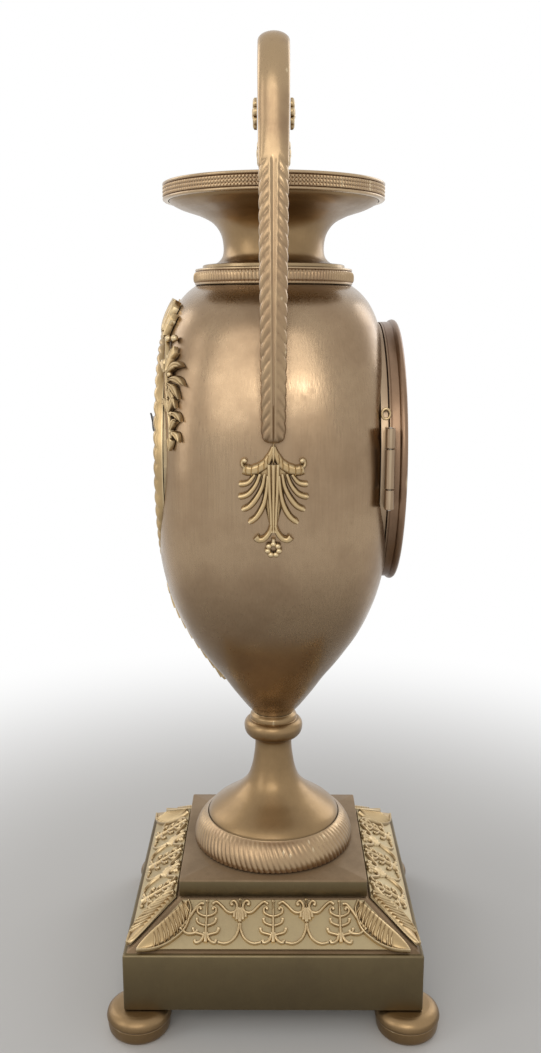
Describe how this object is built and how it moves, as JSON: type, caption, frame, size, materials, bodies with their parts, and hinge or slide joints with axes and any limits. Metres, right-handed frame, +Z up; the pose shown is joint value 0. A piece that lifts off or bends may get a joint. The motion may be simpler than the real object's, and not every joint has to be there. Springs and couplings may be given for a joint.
{
  "type": "urn clock",
  "caption": "Gilt bronze urn mantel clock: egg-shaped vase with a dial, scroll handles, hinged back door and pendulum movement on a square plinth.",
  "frame": {"origin": "on the floor, on the vertical axis of the vase", "axes": "+Z up, the dial faces -Y, the back door faces +Y, the handles stand on +X and -X"},
  "size_m": [0.1376, 0.1296, 0.3644],
  "materials": {
    "gilt": "satin gilt bronze",
    "gilt_matt": "matt chased gilt bronze",
    "aged_brass": "darkened brushed brass",
    "brass": "polished clock brass",
    "steel": "plain steel",
    "blued_steel": "blued steel",
    "enamel": "white vitreous enamel on copper",
    "bell_metal": "turned bell metal",
    "iron": "blackened iron"
  },
  "bodies": {
    "case": {"foot_front_left": "gilt", "foot_front_right": "gilt", "foot_back_left": "gilt", "foot_back_right": "gilt", "plinth": "gilt", "base_plate": "iron", "plinth_cap": "gilt", "frieze_front": "gilt_matt", "frieze_right": "gilt_matt", "frieze_back": "gilt_matt", "frieze_left": "gilt_matt", "rope_ring": "gilt_matt", "foot_stem": "gilt", "stem_knop": "gilt", "tie_rod": "steel", "tie_nut_lower": "steel", "tie_nut_upper": "steel", "vase_body": "gilt", "neck_collar": "gilt_matt", "neck_dish": "gilt", "dish_rim": "gilt_matt", "handle_right": "gilt", "handle_left": "gilt", "handle_leaf_right": "gilt_matt", "handle_leaf_left": "gilt_matt", "handle_eye_right_front": "gilt", "handle_eye_right_back": "gilt", "handle_eye_left_front": "gilt", "handle_eye_left_back": "gilt", "dial_pan": "brass", "dial": "enamel", "front_bezel": "gilt_matt", "spray_right": "gilt_matt", "spray_left": "gilt_matt", "front_drop_mount": "gilt_matt", "front_plate": "brass", "back_plate": "brass", "suspension_cock": "brass", "bell": "bell_metal", "bell_post": "brass", "bell_screw": "steel", "movement_strap_right": "brass", "movement_strap_left": "brass", "back_ring": "aged_brass", "hinge_pin": "steel"},
    "going_barrel_body": {"going_barrel": "brass"},
    "strike_barrel_body": {"strike_barrel": "brass", "count_wheel": "brass"},
    "minute_body": {"centre_wheel": "brass", "minute_hand": "blued_steel"},
    "hour_body": {"hour_pipe": "brass", "hour_hand": "blued_steel"},
    "escape_body": {"escape_wheel": "brass"},
    "pendulum_body": {"anchor_crutch": "steel", "pendulum_rod": "steel", "pendulum_bob": "brass"},
    "hammer_body": {"hammer": "steel"},
    "door_body": {"back_door": "aged_brass", "door_knob": "aged_brass"}
  },
  "joints": [
    {"name": "minute", "type": "hinge", "parent": "case", "child": "minute_body", "pos_m": [0, 0, 0.2205], "axis": [0, 1, 0], "continuous": true},
    {"name": "going_barrel", "type": "hinge", "parent": "case", "child": "going_barrel_body", "pos_m": [0.017, 0, 0.2099], "axis": [0, 1, 0], "continuous": true},
    {"name": "hour", "type": "hinge", "parent": "case", "child": "hour_body", "pos_m": [0, 0, 0.2205], "axis": [0, 1, 0], "continuous": true},
    {"name": "strike_barrel", "type": "hinge", "parent": "case", "child": "strike_barrel_body", "pos_m": [-0.017, 0, 0.2099], "axis": [0, 1, 0], "continuous": true},
    {"name": "escape_wheel", "type": "hinge", "parent": "case", "child": "escape_body", "pos_m": [0, 0, 0.2375], "axis": [0, 1, 0], "continuous": true},
    {"name": "pendulum", "type": "hinge", "parent": "case", "child": "pendulum_body", "pos_m": [0, 0, 0.249], "axis": [0, 1, 0], "range_deg": [-4, 4]},
    {"name": "hammer", "type": "hinge", "parent": "case", "child": "hammer_body", "pos_m": [-0.019, 0, 0.2355], "axis": [0, 1, 0], "range_deg": [0, 12], "stiffness_Nm_per_rad": 0.01, "springref_deg": -5.73},
    {"name": "back_door", "type": "hinge", "parent": "case", "child": "door_body", "pos_m": [0.052, 0.04055, 0.2205], "axis": [0, 0, -1], "range_deg": [0, 105]}
  ],
  "couplings": [
    {"joint": "going_barrel", "follows": "minute", "ratio": -0.16667},
    {"joint": "hour", "follows": "minute", "ratio": 0.083333}
  ]
}
